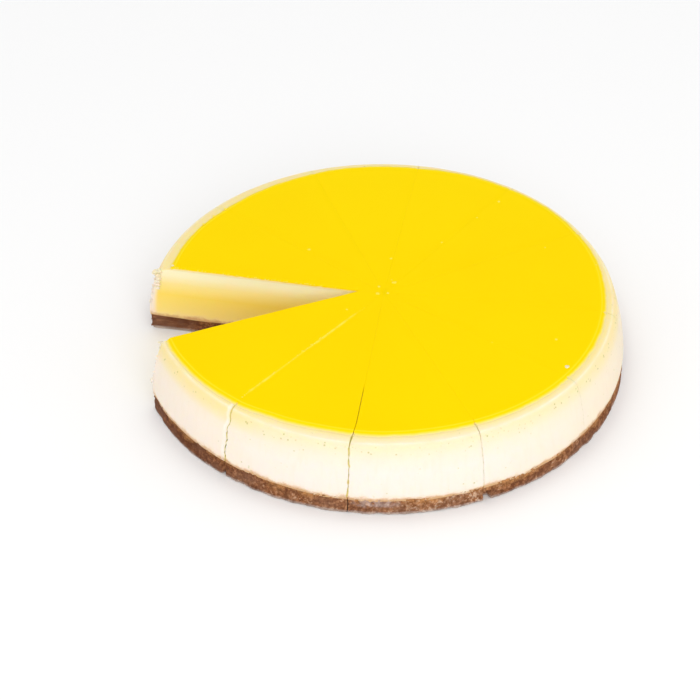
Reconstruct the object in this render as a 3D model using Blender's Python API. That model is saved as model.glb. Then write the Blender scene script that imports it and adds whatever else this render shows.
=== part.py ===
"""A round cheesecake cut into twelve portions, with one portion taken out.

Three layers run through the cake: a base of pressed biscuit crumbs, a baked cream cheese
filling and a thin yellow glaze. The knife divides all three, so each layer of each of the eleven
portions is an object of its own. Portions are numbered anticlockwise, seen from above, from the
opening that the missing one left. Metres, +Z up, the cake's axis on Z and its base at z = 0.
"""
from collections import namedtuple
from math import asin, atan2, cos, degrees, hypot, pi, radians, sin, sqrt

import bmesh
import bpy
from mathutils import Vector, noise

MM = 0.001

# Heights above the table, from the base up
FOOT_HEIGHT = 0.8 * MM
CRUST_HEIGHT = 9.0 * MM
BULGE_HEIGHT = 11.0 * MM
SHOULDER_HEIGHT = 36.8 * MM
CAKE_HEIGHT = 40.0 * MM
GLAZE_THICKNESS = 1.6 * MM

# Radii about the cake's axis
BASE_RADIUS = 119.6 * MM
FOOT_RADIUS = 120.2 * MM
CRUST_TOP_RADIUS = 119.7 * MM
BULGE_RADIUS = 120.0 * MM
SHOULDER_RADIUS = 114.5 * MM
GLAZE_RADIUS = 109.0 * MM
LEAN_POWER = 1.7
SHOULDER_POWER = 2.0

# The glaze lies a little off the axis, and so does the point where the cuts meet
CAKE_CENTRE = Vector((0.0, 0.0))
GLAZE_CENTRE = Vector((1.1, 0.0)) * MM
CUT_CENTRE = Vector((0.55, -1.2)) * MM

# Clear width of a cut, and clear height between two layers
CUT_GAP = 0.5 * MM
LAYER_GAP = 0.3 * MM

# Each cut: its direction in degrees, how far to the left of the centre the knife passed, how
# much wider its gap is at the rim, how deep the crust is chipped before and after it, and how
# much thicker than usual the crust is there
Cut = namedtuple("Cut", "direction miss widening chip_before chip_after thicker")
CUTS = [
    Cut(202.07, -5.8 * MM, 0.0 * MM, 0.0 * MM, 1.0 * MM, 0.3 * MM),
    Cut(229.9, 0.0 * MM, 0.0 * MM, 4.0 * MM, 0.0 * MM, 1.6 * MM),
    Cut(262.3, 0.0 * MM, 0.7 * MM, 0.4 * MM, 0.2 * MM, 0.2 * MM),
    Cut(292.5, 0.0 * MM, 0.2 * MM, 0.1 * MM, 3.4 * MM, 0.1 * MM),
    Cut(323.0, 0.0 * MM, 0.0 * MM, 0.3 * MM, 0.6 * MM, 1.5 * MM),
    Cut(352.0, 0.0 * MM, 0.2 * MM, 0.7 * MM, 0.4 * MM, -0.8 * MM),
    Cut(387.0, 0.0 * MM, 0.0 * MM, 0.9 * MM, 0.7 * MM, 0.3 * MM),
    Cut(413.2, 0.0 * MM, 0.2 * MM, 0.5 * MM, 0.7 * MM, -0.4 * MM),
    Cut(440.1, 0.0 * MM, 0.0 * MM, 1.0 * MM, 0.4 * MM, 0.6 * MM),
    Cut(469.1, 0.0 * MM, 0.1 * MM, 0.6 * MM, 1.0 * MM, 0.0 * MM),
    Cut(499.0, 0.0 * MM, 0.0 * MM, 0.8 * MM, 0.7 * MM, -0.5 * MM),
    Cut(528.62, 1.26 * MM, 0.0 * MM, 1.0 * MM, 0.0 * MM, 0.4 * MM),
]
PORTIONS = range(1, len(CUTS))

# The two cuts of the missing portion cross short of the centre, and its neighbours meet along a
# seam from there. Directions in degrees, for the first portion and for the last
SEAM_DIRECTION = 174.4
SEAM_LENGTH = 12.5 * MM
OPENING_PORTIONS = (PORTIONS[0], PORTIONS[-1])

# How far the glaze ran beyond its circle before it set: directions in degrees, and distances
GLAZE_RUNS = [
    (0, 0.2 * MM), (12, 1.0 * MM), (24, 1.5 * MM), (42, 2.2 * MM), (66, 1.9 * MM),
    (80, 0.7 * MM), (102, 1.1 * MM), (116, 0.1 * MM), (138, -0.4 * MM), (152, 0.6 * MM),
    (172, 0.8 * MM), (203, 4.3 * MM), (214, 3.8 * MM), (230, 2.8 * MM), (242, 0.8 * MM),
    (254, -0.1 * MM), (266, 0.2 * MM), (282, -0.4 * MM), (318, 0.2 * MM), (360, 0.2 * MM),
]

# Unevenness: height or depth, and how far it is from one lump to the next. The crust is firmer
# at its top, and its seat is uneven only near the side, where it shows
CRUMB_DEPTH = 0.6 * MM
CRUMB_PITCH = 6.0 * MM
FIRMER_AT_TOP = 0.6
SEAT_DEPTH = 0.9 * MM
SEAT_PITCH = 13.0 * MM
SEAT_EVEN_RADIUS = 96.0 * MM
SEAT_UNEVEN_RADIUS = 110.4 * MM
WALL_DEPTH = 0.35 * MM
WALL_PITCH = 30.0 * MM
CHIP_WIDTH = 5.5 * MM
OPEN_FACE_ROUGH_FROM = 18.75 * MM
GLAZE_EDGE_WIDTH = 3.0 * MM
GLAZE_EDGE_DROP = 0.8 * MM

# How finely the surfaces are divided
ARC_STEPS = 13
CRUST_LEVELS = (0.0, 0.1, 0.36, 0.6, 0.82, 1.0)
FILLING_LEVELS = (0.0, 0.14, 0.34, 0.56, 0.78, 0.92, 1.0)
GLAZE_LEVELS = (0.0, 1.0)
COARSE_STATIONS = 2
FINE_STATIONS = 19
RIM_STATION = 0.93
SHOULDER_STATIONS = (1.0, 1.5, 2.0)
JOINED_BELOW = 0.01 * MM
FLAT_BELOW = radians(0.05)
SHARP_ABOVE = radians(35)

FILLING_TOP = CAKE_HEIGHT - GLAZE_THICKNESS - LAYER_GAP


def smooth_step(value):
    """Rise gently from 0 at 0 to 1 at 1."""
    value = max(0.0, min(1.0, value))
    return value * value * (3 - 2 * value)


def reach_to_circle(angle, centre, radius):
    """Distance from the cut centre to a circle, in the given direction."""
    offset = centre - CUT_CENTRE
    along = offset.x * cos(angle) + offset.y * sin(angle)
    across = offset.y * cos(angle) - offset.x * sin(angle)
    return along + sqrt(radius * radius - across * across)


def glaze_reach(angle):
    """Distance from the cut centre to the edge of the glaze, in the given direction."""
    direction = degrees(angle) % 360
    for (start, start_run), (end, end_run) in zip(GLAZE_RUNS, GLAZE_RUNS[1:]):
        if direction <= end:
            share = smooth_step((direction - start) / (end - start))
            run = start_run + (end_run - start_run) * share
            return reach_to_circle(angle, GLAZE_CENTRE, GLAZE_RADIUS) + run


def spot(angle, reach):
    """The point of the cake's plan that lies in a direction from the cut centre."""
    return CUT_CENTRE + Vector((reach * cos(angle), reach * sin(angle)))


def seam_angles():
    """Directions of the seam, as the first portion and as the last portion count them."""
    return radians(SEAM_DIRECTION), radians(SEAM_DIRECTION + 360)


def face_angle(cut, side, reach):
    """Direction of a cut face at a distance from the cut centre.

    side is 1 for the portion that starts at the cut and -1 for the one that ends there.
    """
    clearance = (CUT_GAP + CUTS[cut].widening * reach / BULGE_RADIUS) / 2
    lean = asin(max(-1.0, min(1.0, (CUTS[cut].miss + side * clearance) / reach)))
    angle = radians(CUTS[cut].direction) + lean
    seam_lean = asin(min(1.0, clearance / reach))
    first_seam, last_seam = seam_angles()
    if cut == 0:
        angle = max(angle, first_seam + seam_lean)
    if cut == len(CUTS) - 1:
        angle = min(angle, last_seam - seam_lean)
    return angle


def portion_sweep(number):
    """Directions between which a portion's tip lies."""
    first = radians(CUTS[number - 1].direction)
    last = radians(CUTS[number].direction)
    first_seam, last_seam = seam_angles()
    if number == OPENING_PORTIONS[0]:
        first = first_seam
    if number == OPENING_PORTIONS[1]:
        last = last_seam
    return first, last


def tip_reach(number):
    """Distance from the cut centre at which a portion's two faces meet."""
    first, last = portion_sweep(number)
    return CUT_GAP / 2 / sin((last - first) / 2)


def wall_radius(height):
    """Radius of the filling's wall, which leans in from its widest place to the shoulder."""
    if height > BULGE_HEIGHT:
        share = (height - BULGE_HEIGHT) / (SHOULDER_HEIGHT - BULGE_HEIGHT)
        return BULGE_RADIUS - (BULGE_RADIUS - SHOULDER_RADIUS) * share ** LEAN_POWER
    share = (BULGE_HEIGHT - height) / (BULGE_HEIGHT - CRUST_HEIGHT)
    return BULGE_RADIUS - (BULGE_RADIUS - CRUST_TOP_RADIUS) * share * share


def crust_radius(height):
    """Radius of the crust's side, which tucks in just above the table."""
    if height < FOOT_HEIGHT:
        return BASE_RADIUS + (FOOT_RADIUS - BASE_RADIUS) * height / FOOT_HEIGHT
    share = (height - FOOT_HEIGHT) / (CRUST_HEIGHT - FOOT_HEIGHT)
    return FOOT_RADIUS + (CRUST_TOP_RADIUS - FOOT_RADIUS) * share


def station(number, column, angle, radius):
    """Distance from the cut centre of a column of points.

    Column 0 is the portion's tip, 1 is the edge of the glaze and 2 is the outer wall.
    """
    glaze_edge = glaze_reach(angle)
    if column <= 1:
        return max(column * glaze_edge, tip_reach(number))
    rim = reach_to_circle(angle, CAKE_CENTRE, radius)
    return glaze_edge + (column - 1) * (rim - glaze_edge)


def crust_top(number, share, place):
    """Height at which the filling sits on the crumbs, uneven where it shows."""
    before, after = CUTS[number - 1].thicker, CUTS[number].thicker
    thicker = before + (after - before) * smooth_step(share)
    ramp = SEAT_UNEVEN_RADIUS - SEAT_EVEN_RADIUS
    shown = smooth_step((place.length - SEAT_EVEN_RADIUS) / ramp)
    if number in OPENING_PORTIONS:
        shown = 1.0
    lumps = noise.noise(Vector((place.x, place.y, 0.0)) / SEAT_PITCH)
    return CRUST_HEIGHT + (thicker + SEAT_DEPTH * lumps) * shown


def crust_section(number, column, level, angle, share):
    """Where a point of the crust lies: its distance from the cut centre and its height."""
    reach = station(number, column, angle, CRUST_TOP_RADIUS)
    height = level * crust_top(number, share, spot(angle, reach))
    reach = station(number, column, angle, crust_radius(height))
    if column == 2:
        place = spot(angle, reach)
        crumbs = noise.noise(Vector((place.x, place.y, height)) / CRUMB_PITCH)
        loose = 1 - FIRMER_AT_TOP * level
        reach += CRUMB_DEPTH * crumbs * loose - chip_depth(number, share) * loose
    return reach, height


def chip_depth(number, share):
    """How far the crust is broken back beside the portion's two cuts."""
    first, last = portion_sweep(number)
    width = (last - first) * FOOT_RADIUS
    near_first = smooth_step(1 - share * width / CHIP_WIDTH)
    near_last = smooth_step(1 - (1 - share) * width / CHIP_WIDTH)
    return CUTS[number - 1].chip_after * near_first + CUTS[number].chip_before * near_last


def filling_section(number, column, level, angle, share):
    """Where a point of the filling lies."""
    place = spot(angle, station(number, column, angle, CRUST_TOP_RADIUS))
    bottom = crust_top(number, share, place) + LAYER_GAP
    slope = max(0.0, column - 1)
    top = FILLING_TOP - (FILLING_TOP - SHOULDER_HEIGHT) * slope ** SHOULDER_POWER
    height = bottom + level * (top - bottom)
    reach = station(number, column, angle, wall_radius(height))
    if column == 2:
        soft = noise.noise(Vector((place.x, place.y, height)) / WALL_PITCH)
        reach += WALL_DEPTH * soft * sin(pi * level)
    return reach, height


def glaze_section(number, column, level, angle, share):
    """Where a point of the glaze lies, with its edge rounded over."""
    bottom = CAKE_HEIGHT - GLAZE_THICKNESS
    edge = max(0.0, 1 - (1 - column) * GLAZE_RADIUS / GLAZE_EDGE_WIDTH)
    top = CAKE_HEIGHT - GLAZE_EDGE_DROP * edge * edge
    height = bottom + level * (top - bottom)
    return station(number, column, angle, GLAZE_RADIUS), height


def portion_point(number, column, level, share, section):
    """Place one point of a layer; share runs from 0 at the first cut to 1 at the last."""
    first, last = portion_sweep(number)
    angle = first + share * (last - first)
    for _ in range(3):
        reach, height = section(number, column, level, angle, share)
        start = face_angle(number - 1, 1, reach)
        end = face_angle(number, -1, reach)
        angle = start + share * (end - start)
    place = spot(angle, reach)
    return Vector((place.x, place.y, height))


def roughen_cut(point, number, share, column, level):
    """Push the crumbs of a crust face that the opening shows in and out."""
    first_shown = number == OPENING_PORTIONS[0] and share == 0
    last_shown = number == OPENING_PORTIONS[1] and share == 1
    beyond_seam = column * GLAZE_RADIUS > OPEN_FACE_ROUGH_FROM
    if not (first_shown or last_shown) or not beyond_seam or level in (0, 1):
        return point
    cut = 0 if first_shown else len(CUTS) - 1
    direction = radians(CUTS[cut].direction)
    into_portion = 1 if first_shown else -1
    normal = Vector((-sin(direction), cos(direction), 0)) * into_portion
    return point + normal * CRUMB_DEPTH * (0.5 + noise.noise(point / CRUMB_PITCH))


def station_list(number, stations, outer):
    """Columns from the tip to the glaze's edge, followed by the given outer ones."""
    seam = SEAM_LENGTH / GLAZE_RADIUS
    inner = [seam + (outer[0] - seam) * i / stations for i in range(stations)]
    return [0.0] + inner + list(outer)


def build_layer(name, number, section, columns, levels, material, collection, rough=False):
    """Spin a sheet of points through the portion's angle and put every point in its place."""
    bm = bmesh.new()
    bmesh.ops.create_grid(bm, x_segments=len(columns) - 1, y_segments=len(levels) - 1, size=0.5)
    for vert in bm.verts:
        column = round((vert.co.x + 0.5) * (len(columns) - 1))
        level = round((vert.co.y + 0.5) * (len(levels) - 1))
        vert.co = (1 + column, 0, level)
    bmesh.ops.spin(
        bm, geom=bm.verts[:] + bm.edges[:] + bm.faces[:], cent=(0, 0, 0), axis=(0, 0, 1),
        angle=1, steps=ARC_STEPS, use_duplicate=False,
    )
    for vert in bm.verts:
        column = columns[round(hypot(vert.co.x, vert.co.y)) - 1]
        share = round(atan2(vert.co.y, vert.co.x) * ARC_STEPS) / ARC_STEPS
        level = levels[round(vert.co.z)]
        vert.co = portion_point(number, column, level, share, section)
        if rough:
            vert.co = roughen_cut(vert.co, number, share, column, level)
    bmesh.ops.remove_doubles(bm, verts=bm.verts[:], dist=JOINED_BELOW)
    bmesh.ops.recalc_face_normals(bm, faces=bm.faces[:])
    bmesh.ops.dissolve_limit(bm, angle_limit=FLAT_BELOW, verts=bm.verts[:], edges=bm.edges[:])
    bmesh.ops.triangulate(bm, faces=bm.faces[:], quad_method="SHORT_EDGE")

    mesh = bpy.data.meshes.new(name)
    bm.to_mesh(mesh)
    bm.free()
    mesh.shade_smooth()
    mesh.set_sharp_from_angle(angle=SHARP_ABOVE)
    layer = bpy.data.objects.new(name, mesh)
    mesh.materials.append(material)
    collection.objects.link(layer)
    return layer


def food_material(name, colour, roughness, subsurface=0.0):
    """A plain food surface."""
    material = bpy.data.materials.new(name)
    material.use_nodes = True
    shader = material.node_tree.nodes["Principled BSDF"]
    shader.inputs["Base Color"].default_value = (*colour, 1.0)
    shader.inputs["Roughness"].default_value = roughness
    shader.inputs["Metallic"].default_value = 0.0
    shader.inputs["Subsurface Weight"].default_value = subsurface
    shader.inputs["Subsurface Scale"].default_value = 2 * MM
    return material


def build_portion(number, materials, collection):
    """Build a portion's crust, filling and glaze."""
    name = f"slice_{number:02d}"
    beside_opening = number in OPENING_PORTIONS
    stations = FINE_STATIONS if beside_opening else COARSE_STATIONS
    columns = station_list(number, stations, (RIM_STATION,) + SHOULDER_STATIONS)
    build_layer(
        f"{name}_crust", number, crust_section, columns, CRUST_LEVELS,
        materials["crust"], collection, rough=beside_opening,
    )
    build_layer(
        f"{name}_filling", number, filling_section, columns, FILLING_LEVELS,
        materials["filling"], collection,
    )
    edge = GLAZE_EDGE_WIDTH / GLAZE_RADIUS
    glaze_columns = station_list(number, 1, (1 - edge, 1 - edge / 2, 1 - edge / 6, 1.0))
    build_layer(
        f"{name}_glaze", number, glaze_section, glaze_columns, GLAZE_LEVELS,
        materials["glaze"], collection,
    )


for old_object in list(bpy.data.objects):
    bpy.data.objects.remove(old_object, do_unlink=True)

cake = bpy.data.collections.new("cheesecake")
bpy.context.scene.collection.children.link(cake)
cake_materials = {
    "crust": food_material("biscuit_crumb", (0.270, 0.125, 0.060), 0.95),
    "filling": food_material("baked_cream_cheese", (0.950, 0.880, 0.700), 0.55, 0.2),
    "glaze": food_material("yellow_glaze", (0.990, 0.720, 0.004), 0.3, 0.1),
}
for portion in PORTIONS:
    build_portion(portion, cake_materials, cake)
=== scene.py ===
"""The looks of a round glazed cheesecake, cut into twelve portions, with one portion taken out.

Sizes are in millimetres and turned into metres when a piece is finished. Portions are numbered
anticlockwise, seen from above, from the opening that the missing one left.
"""
import random
from collections import namedtuple
from math import asin, cos, degrees, pi, radians, sin, sqrt

import bmesh
import bpy
from mathutils import Matrix, Vector, noise


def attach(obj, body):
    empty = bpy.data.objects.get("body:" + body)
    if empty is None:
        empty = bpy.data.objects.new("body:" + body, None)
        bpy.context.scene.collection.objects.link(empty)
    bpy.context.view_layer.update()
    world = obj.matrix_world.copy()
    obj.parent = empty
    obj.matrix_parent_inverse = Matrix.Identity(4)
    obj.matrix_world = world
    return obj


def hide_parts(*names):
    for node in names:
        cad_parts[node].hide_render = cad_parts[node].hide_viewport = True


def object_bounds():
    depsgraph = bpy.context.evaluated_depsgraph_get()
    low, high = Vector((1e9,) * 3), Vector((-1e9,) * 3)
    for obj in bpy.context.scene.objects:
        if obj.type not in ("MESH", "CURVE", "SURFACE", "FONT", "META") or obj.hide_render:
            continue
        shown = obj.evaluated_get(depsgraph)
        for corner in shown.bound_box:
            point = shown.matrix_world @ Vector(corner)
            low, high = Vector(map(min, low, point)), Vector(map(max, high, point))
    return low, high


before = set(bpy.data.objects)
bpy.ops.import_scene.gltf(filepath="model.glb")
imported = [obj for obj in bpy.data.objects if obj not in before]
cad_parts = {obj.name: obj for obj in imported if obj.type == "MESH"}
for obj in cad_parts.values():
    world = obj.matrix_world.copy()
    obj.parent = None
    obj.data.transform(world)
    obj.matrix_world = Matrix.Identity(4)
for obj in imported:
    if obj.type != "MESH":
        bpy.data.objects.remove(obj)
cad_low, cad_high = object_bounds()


# Biscuit base
# Crushed biscuit and butter, pressed flat into the tin and baked. The knife divides it together
# with the cake, and it breaks away in crumbs beside the cuts and along the foot.

# Radii and heights of the whole, and the centres of the wall, of the glaze and of the cuts
MILLIMETRE = 0.001
BOX_LOW, BOX_HIGH = cad_low / MILLIMETRE, cad_high / MILLIMETRE
CAKE_HEIGHT = BOX_HIGH.z
CRUST_HEIGHT = 9.0
FOOT_HEIGHT = 0.8
BASE_RADIUS = 119.6
FOOT_RADIUS = 120.2
OUTERMOST_RADIUS = 120.1
CRUST_TOP_RADIUS = 119.7
GLAZE_RADIUS = 109.0
CAKE_CENTRE = Vector((0.0, 0.0))
GLAZE_CENTRE = Vector((1.1, 0.0))
CUT_CENTRE = Vector((0.55, -1.2))

# The knife's cuts: direction in degrees, how far to the left of the centre it passed, where on
# the top the cut begins to gape, how wide it is at the rim and how wide down the side, how ragged
# it is there, how deep the crust is chipped before and after it, and how much thicker the crust is
Cut = namedtuple("Cut", "direction miss opens gap seam ragged chip_before chip_after thicker")
CUTS = [
    Cut(202.07, -5.8, 200, 0.00, 0.00, 0.0, 0.0, 1.0, 0.3),
    Cut(229.9, 0.0, 106, 0.10, 0.18, 1.0, 4.0, 0.0, 1.6),
    Cut(261.9, 0.0, 72, 0.26, 0.20, 0.6, 0.4, 0.2, 0.2),
    Cut(292.5, 0.0, 102, 0.18, 0.05, 0.3, 0.1, 0.2, 0.1),
    Cut(323.0, 0.0, 108, 0.07, 0.05, 0.3, 0.3, 0.6, 1.5),
    Cut(352.0, 0.0, 106, 0.18, 0.07, 0.3, 0.7, 0.4, -0.8),
    Cut(387.0, 0.0, 110, 0.10, 0.08, 0.4, 0.9, 0.7, 0.3),
    Cut(413.2, 0.0, 106, 0.20, 0.08, 0.2, 0.5, 0.7, -0.4),
    Cut(440.1, 0.0, 106, 0.20, 0.08, 0.5, 1.0, 0.4, 0.6),
    Cut(469.1, 0.0, 110, 0.10, 0.08, 0.3, 0.6, 1.0, 0.0),
    Cut(499.0, 0.0, 110, 0.10, 0.08, 0.2, 0.8, 0.7, -0.5),
    Cut(528.62, 1.26, 200, 0.00, 0.00, 0.0, 1.0, 0.0, 0.4),
]
PORTIONS = range(1, len(CUTS))
FIRST_PORTION, LAST_PORTION = PORTIONS[0], PORTIONS[-1]
CLOSED_GAP = 0.02
GAPE_LENGTH = 6.0
RIM_HEIGHT = 34.0
CRUST_GAPE_HEIGHT = 10.0
GAPE_BLEND = 3.0
CRUST_GAPE = 2.2
BEAD_PITCH = 1.6
BEAD_SHARE, BEAD_SWING = 0.3, 1.3

# How far the cuts stray along the top, and down the wall in wide and in fine waves, with the
# length of those waves, and how far two of the cuts lean to their left as they near the wall
TOP_STRAY, TOP_STRAY_PITCH = 0.18, 11.0
WALL_STRAY, WALL_STRAY_PITCH = 1.3, 6.5
FINE_STRAY, FINE_STRAY_PITCH = 0.5, 1.9
STRAIGHT_REACH = 100.0
WALL_REACH, WALL_REACH_BLEND = 106.0, 8.0
BELOW_RIM, BELOW_RIM_BLEND = 2.0, 6.0
LEANING_CUTS = {1: 1.0, 2: -1.4}
LEAN_LENGTH = 16.0

# The first and the last portion still touch near the centre, along a short seam
SEAM_DIRECTION = 174.4
SEAM_LENGTH = 12.5

# By direction in degrees: how far the glaze ran beyond its circle, and the crust's painted light
# and shade, darker round the left side and lighter at the front
GLAZE_RUNS = [
    (0, 0.2), (12, 1.0), (24, 1.5), (42, 2.2), (66, 1.9), (80, 0.7), (102, 1.1), (116, 0.1),
    (138, -0.4), (152, 0.6), (172, 0.8), (203, 4.3), (214, 3.8), (230, 2.8), (242, 0.8),
    (254, -0.1), (266, 0.2), (282, -0.4), (318, 0.2), (360, 0.2),
]
CRUST_PAINTED_LIGHT_AND_SHADE = [
    (0, -0.05), (120, 0.0), (190, -0.36), (216, -0.38), (240, -0.08), (262, 0.0), (276, 0.20),
    (291, 0.20), (300, -0.02), (318, 0.04), (340, -0.05), (360, -0.05),
]

# The crust's top is even under the cake, lumpy towards the wall and thinner around one place
SEAT_DEPTH = 0.9
SEAT_PITCH = 13.0
SEAT_EVEN_RADIUS = 96.0
SEAT_UNEVEN_RADIUS = 110.4
THINNER = 1.2
THINNER_PLACE = Vector((77.0, -92.0))
THINNER_SPREAD = 24.0

# Its wall has wide lumps, looser below than above, and single crumbs stand up at its upper edge
LUMP_DEPTH = 0.9
LUMP_PITCH = 6.0
FIRMER_AT_TOP = 0.6
EDGE_UNEVEN = 1.1
EDGE_PITCH = 4.6
EDGE_RAGGED = 0.5
EDGE_RAGGED_PITCH = 1.3
EDGE_LIFT = 0.15
EDGE_FROM_COLUMN, EDGE_COLUMN_BLEND = 1.3, 0.5

# It is chipped beside the cuts, and one square bite is out of its foot
CHIP_WIDTH = 5.5
BITE_CUT = 3
BITE_WIDTH = 4.2
BITE_HEIGHT = 5.6
BITE_DEPTH = 3.4
BITE_RAGGED = 0.6
BITE_SIDE_BLEND = 0.5
BITE_TOP_BLEND = 0.6

# Its surface is crumbs with finer grit between them, each with a shade of its own
CRUMB_SIZE = 2.3
CRUMB_DEPTH = 0.36
GRIT_SIZE = 1.1
GRIT_DEPTH = 0.26
CRUMB_STEEPNESS = 1.35
GRIT_STEEPNESS = 1.3
MIDDLE_SHADE = 0.5
CRUMB_SHADE = 0.16
GRIT_SHADE = 0.27
PROUD = 0.36
BROKEN_IN = 4.0

# The knife smeared cream over the upper part of the crust, around one direction
SMEARED_CRUST = 267.5
SMEARED_CRUST_SPREAD = 6.5
SMEARED_CRUST_PITCH = 2.3
SMEARED_FROM_LEVEL = 0.35
SMEARED_LEVEL_BLEND = 0.3

# The block that a layer starts as is 1 high, and only its uprights are longer than 0.9. Points
# that come closer than 0.004 mm become one, where a portion narrows to its tip.
UPRIGHT_LENGTH = 0.9
MERGE_DISTANCE = 0.004


# Where a noise is looked up below, a plain number beside a place or a cut's number only chooses
# which part of the noise is used.


def smooth_step(value):
    """Rise gently from 0 at 0 to 1 at 1."""
    value = max(0.0, min(1.0, value))
    return value * value * (3 - 2 * value)


def by_direction(table, angle):
    """Read a table of directions and values, smoothly between its entries."""
    direction = degrees(angle) % 360
    for (start, low), (end, high) in zip(table, table[1:]):
        if direction <= end:
            return low + (high - low) * smooth_step((direction - start) / (end - start))


def spot(angle, reach):
    """The point of the cake's plan that lies in a direction from the cut centre."""
    return CUT_CENTRE + Vector((reach * cos(angle), reach * sin(angle)))


def reach_to_circle(angle, centre, radius):
    """Distance from the cut centre to a circle, in the given direction."""
    offset = centre - CUT_CENTRE
    along = offset.x * cos(angle) + offset.y * sin(angle)
    across = offset.y * cos(angle) - offset.x * sin(angle)
    return along + sqrt(radius * radius - across * across)


def glaze_reach(angle):
    """Distance from the cut centre to the edge of the glaze, in the given direction."""
    return reach_to_circle(angle, GLAZE_CENTRE, GLAZE_RADIUS) + by_direction(GLAZE_RUNS, angle)


def knife_gap(cut, reach, height):
    """Clear width of a cut: open at the rim's top and in the crust, beaded between."""
    shape = CUTS[cut]
    if reach < shape.opens:
        return CLOSED_GAP
    open_here = smooth_step((reach - shape.opens) / GAPE_LENGTH)
    at_top = smooth_step((height - RIM_HEIGHT) / GAPE_BLEND)
    in_crust = smooth_step((CRUST_GAPE_HEIGHT - height) / GAPE_BLEND)
    beads = noise.noise(Vector((height / BEAD_PITCH, 2.9 * cut, 6.1)))
    beading = max(0.0, BEAD_SHARE + BEAD_SWING * beads)
    side = shape.seam * (CRUST_GAPE * in_crust + beading * (1 - in_crust))
    return CLOSED_GAP + open_here * (shape.gap * at_top + side * (1 - at_top))


def wander(cut, reach, height):
    """How far a cut strays sideways: a little along the top, more down the outer wall."""
    along_top = TOP_STRAY * noise.noise(Vector((reach / TOP_STRAY_PITCH, 5.0 * cut, 0.3)))
    if reach < STRAIGHT_REACH:
        return along_top
    down_side = WALL_STRAY * noise.noise(Vector((height / WALL_STRAY_PITCH, 3.7 * cut, 9.1)))
    down_side += FINE_STRAY * noise.noise(Vector((height / FINE_STRAY_PITCH, 3.7 * cut, 4.2)))
    on_wall = smooth_step((reach - WALL_REACH) / WALL_REACH_BLEND)
    on_wall *= smooth_step((CAKE_HEIGHT - BELOW_RIM - height) / BELOW_RIM_BLEND)
    lean = LEANING_CUTS.get(cut, 0.0) * smooth_step((reach - STRAIGHT_REACH) / LEAN_LENGTH)
    return along_top + lean + CUTS[cut].ragged * down_side * on_wall


def face_angle(cut, side, reach, height):
    """Direction of a cut face; side is 1 for the portion that starts there, else -1."""
    clearance = knife_gap(cut, reach, height) / 2
    aside = CUTS[cut].miss + side * clearance + wander(cut, reach, height)
    angle = radians(CUTS[cut].direction) + asin(max(-1.0, min(1.0, aside / reach)))
    seam_lean = asin(min(1.0, clearance / reach))
    if cut == 0:
        angle = max(angle, radians(SEAM_DIRECTION) + seam_lean)
    if cut == len(CUTS) - 1:
        angle = min(angle, radians(SEAM_DIRECTION + 360) - seam_lean)
    return angle


def portion_sweep(number):
    """Directions between which a portion's tip lies."""
    first = radians(CUTS[number - 1].direction)
    last = radians(CUTS[number].direction)
    if number == FIRST_PORTION:
        first = radians(SEAM_DIRECTION)
    if number == LAST_PORTION:
        last = radians(SEAM_DIRECTION + 360)
    return first, last


def from_cuts(number, share, reach):
    """Distances of a point from its portion's first and last cut."""
    first, last = portion_sweep(number)
    return share * (last - first) * reach, (1 - share) * (last - first) * reach


def station(number, column, angle, radius):
    """Distance from the cut centre: column 0 is the tip, 1 the glaze's edge, 2 the wall."""
    first, last = portion_sweep(number)
    tip = CLOSED_GAP / 2 / sin((last - first) / 2)
    glaze_edge = glaze_reach(angle)
    if column <= 1:
        return max(column * glaze_edge, tip)
    rim = reach_to_circle(angle, CAKE_CENTRE, radius)
    return glaze_edge + (column - 1) * (rim - glaze_edge)


def crust_top(number, share, place):
    """Height at which the filling sits on the crumbs, uneven where it shows."""
    before, after = CUTS[number - 1].thicker, CUTS[number].thicker
    thicker = before + (after - before) * smooth_step(share)
    ramp = SEAT_UNEVEN_RADIUS - SEAT_EVEN_RADIUS
    shown = smooth_step((place.length - SEAT_EVEN_RADIUS) / ramp)
    if number in (FIRST_PORTION, LAST_PORTION):
        shown = 1.0
    lumps = noise.noise(Vector((place.x, place.y, 0.0)) / SEAT_PITCH)
    thinner = THINNER * max(0.0, 1 - (place - THINNER_PLACE).length / THINNER_SPREAD)
    return CRUST_HEIGHT + (thicker + SEAT_DEPTH * lumps - thinner) * shown


def ragged_edge(place, column):
    """How much higher single crumbs of the crust's upper edge stand against the wall."""
    where = Vector((place.x, place.y, 3.3))
    rise = EDGE_UNEVEN * noise.noise(where / EDGE_PITCH)
    rise += EDGE_RAGGED * noise.noise(where / EDGE_RAGGED_PITCH)
    return (rise + EDGE_LIFT) * smooth_step((column - EDGE_FROM_COLUMN) / EDGE_COLUMN_BLEND)


def chip_depth(number, share, reach, height):
    """How far the crust is broken back beside the portion's two cuts."""
    to_first, to_last = from_cuts(number, share, reach)
    near_first = smooth_step(1 - to_first / CHIP_WIDTH)
    near_last = smooth_step(1 - to_last / CHIP_WIDTH)
    depth = CUTS[number - 1].chip_after * near_first + CUTS[number].chip_before * near_last
    if number == BITE_CUT + 1:
        ragged = BITE_RAGGED * noise.noise(Vector((to_first, height, 5.2)))
        across = smooth_step((BITE_WIDTH + ragged - to_first) / BITE_SIDE_BLEND)
        upwards = smooth_step((BITE_HEIGHT + ragged - height) / BITE_TOP_BLEND)
        depth += BITE_DEPTH * across * upwards
    return depth


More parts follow.
